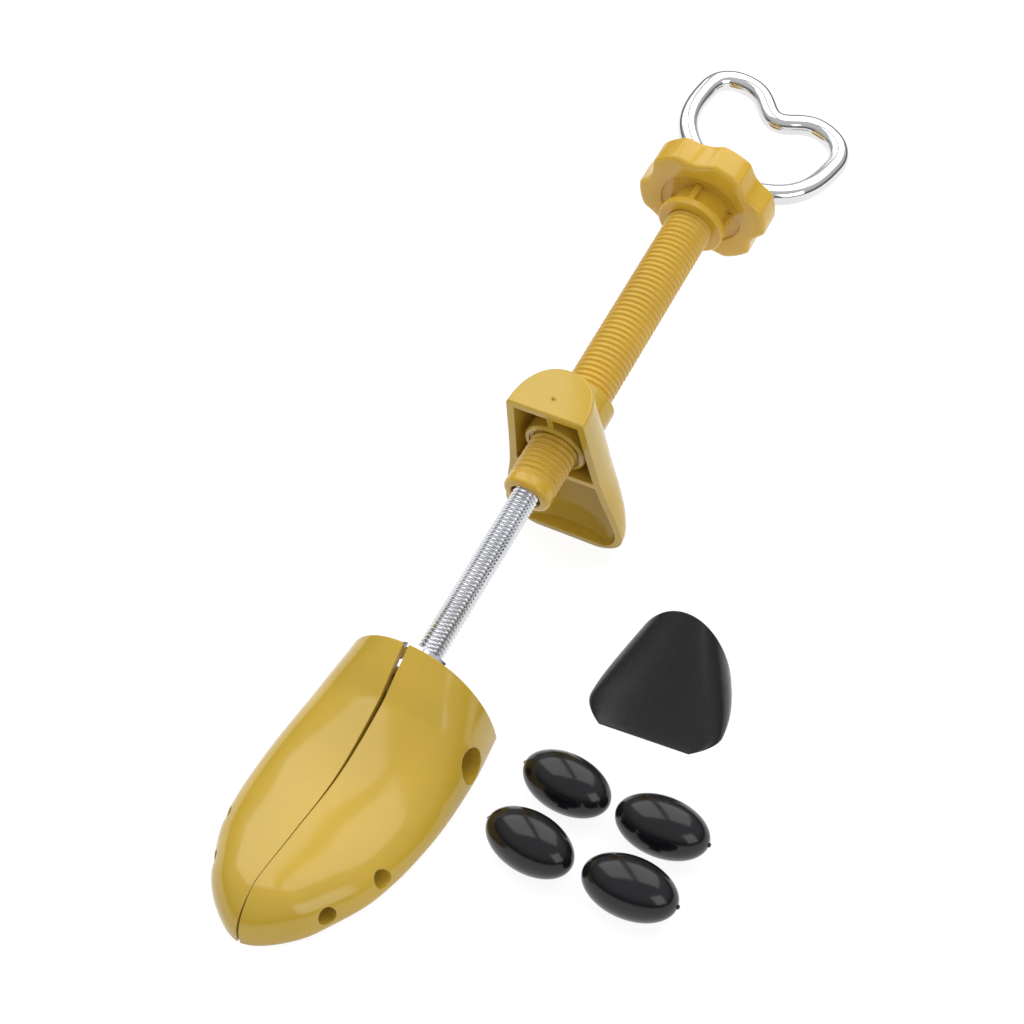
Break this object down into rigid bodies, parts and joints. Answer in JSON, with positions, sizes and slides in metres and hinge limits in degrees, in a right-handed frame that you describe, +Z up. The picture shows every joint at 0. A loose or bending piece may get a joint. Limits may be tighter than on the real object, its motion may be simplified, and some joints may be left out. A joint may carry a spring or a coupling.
{
  "type": "shoe stretcher",
  "caption": "Screw shoe stretcher: split plastic forefoot spread by a wedge on a threaded rod, heel block on a screw tube with a lobed wheel, heart-shaped turning handle and loose relief pads.",
  "frame": {"origin": "centre of the flush flat head of the toe pin, in the plane of the sole", "axes": "+Y from the toe towards the handle, +Z up from the sole, +X to the right when looking from the toe to the handle"},
  "size_m": [0.1202, 0.3097, 0.0929],
  "materials": {
    "mustard_plastic": "glossy moulded",
    "amber_plastic": "glossy moulded",
    "zinc_steel": "zinc plated",
    "chrome_wire": "polished",
    "black_plastic": "semi-gloss moulded"
  },
  "bodies": {
    "toe_frame": {"toe_pin": "zinc_steel", "toe_strap": "zinc_steel"},
    "right_half": {"forefoot_right": "mustard_plastic"},
    "left_half": {"forefoot_left": "mustard_plastic", "closing_spring": "zinc_steel"},
    "wedge": {"spreader_wedge": "zinc_steel"},
    "rod": {"threaded_rod": "zinc_steel", "rod_washer": "zinc_steel", "rod_lock_nut": "zinc_steel", "thrust_socket": "zinc_steel", "roll_pin": "zinc_steel", "heart_pin": "zinc_steel"},
    "handle": {"heart_handle": "chrome_wire"},
    "wheel": {"screw_tube": "amber_plastic", "handwheel": "amber_plastic", "wheel_cap": "amber_plastic", "thrust_washer_front": "zinc_steel", "thrust_washer_rear": "zinc_steel"},
    "heel": {"heel_block": "mustard_plastic"},
    "pad_1": {"oval_pad_1": "black_plastic"},
    "pad_2": {"oval_pad_2": "black_plastic"},
    "pad_3": {"oval_pad_3": "black_plastic"},
    "pad_4": {"oval_pad_4": "black_plastic"},
    "instep": {"instep_pad": "black_plastic"}
  },
  "joints": [
    {"name": "right_half_swing", "type": "hinge", "parent": "toe_frame", "child": "right_half", "pos_m": [0, 0, 0], "axis": [0, 0, -1], "range_deg": [0, 2.66]},
    {"name": "left_half_swing", "type": "hinge", "parent": "toe_frame", "child": "left_half", "pos_m": [0, 0, 0], "axis": [0, 0, 1], "range_deg": [0, 2.66], "deforming": ["closing_spring"]},
    {"name": "wedge_slide", "type": "slide", "parent": "toe_frame", "child": "wedge", "axis": [0, -0.9563, -0.2924], "range_m": [0, 0.015]},
    {"name": "rod_turn", "type": "hinge", "parent": "toe_frame", "child": "rod", "pos_m": [0, 0.081, 0.0185], "axis": [0, 0.9563, 0.2924], "range_deg": [0, 4320]},
    {"name": "handle_swing", "type": "hinge", "parent": "rod", "child": "handle", "pos_m": [0, 0.25753, 0.07247], "axis": [0.2164, -0.2854, 0.9336], "range_deg": [-3, 23]},
    {"name": "wheel_turn", "type": "hinge", "parent": "toe_frame", "child": "wheel", "pos_m": [0, 0.13809, 0.03596], "axis": [0, -0.9563, -0.2924], "range_deg": [-1170, 12850]},
    {"name": "heel_slide", "type": "slide", "parent": "toe_frame", "child": "heel", "axis": [0, 0.9563, 0.2924], "range_m": [-0.006, 0.066]},
    {"name": "pad_1_lift", "type": "slide", "parent": "toe_frame", "child": "pad_1", "axis": [0, 0, 1], "range_m": [0, 0.03]},
    {"name": "pad_2_lift", "type": "slide", "parent": "toe_frame", "child": "pad_2", "axis": [0, 0, 1], "range_m": [0, 0.03]},
    {"name": "pad_3_lift", "type": "slide", "parent": "toe_frame", "child": "pad_3", "axis": [0, 0, 1], "range_m": [0, 0.03]},
    {"name": "pad_4_lift", "type": "slide", "parent": "toe_frame", "child": "pad_4", "axis": [0, 0, 1], "range_m": [0, 0.03]},
    {"name": "instep_pad_lift", "type": "slide", "parent": "toe_frame", "child": "instep", "axis": [0, 0, 1], "range_m": [0, 0.03]}
  ],
  "couplings": [
    {"joint": "right_half_swing", "follows": "wedge_slide", "rad_per_m": 3.0947},
    {"joint": "left_half_swing", "follows": "wedge_slide", "rad_per_m": 3.0947},
    {"joint": "rod_turn", "follows": "wedge_slide", "rad_per_m": 5026.5},
    {"joint": "wheel_turn", "follows": "heel_slide", "rad_per_m": 3396.3}
  ]
}
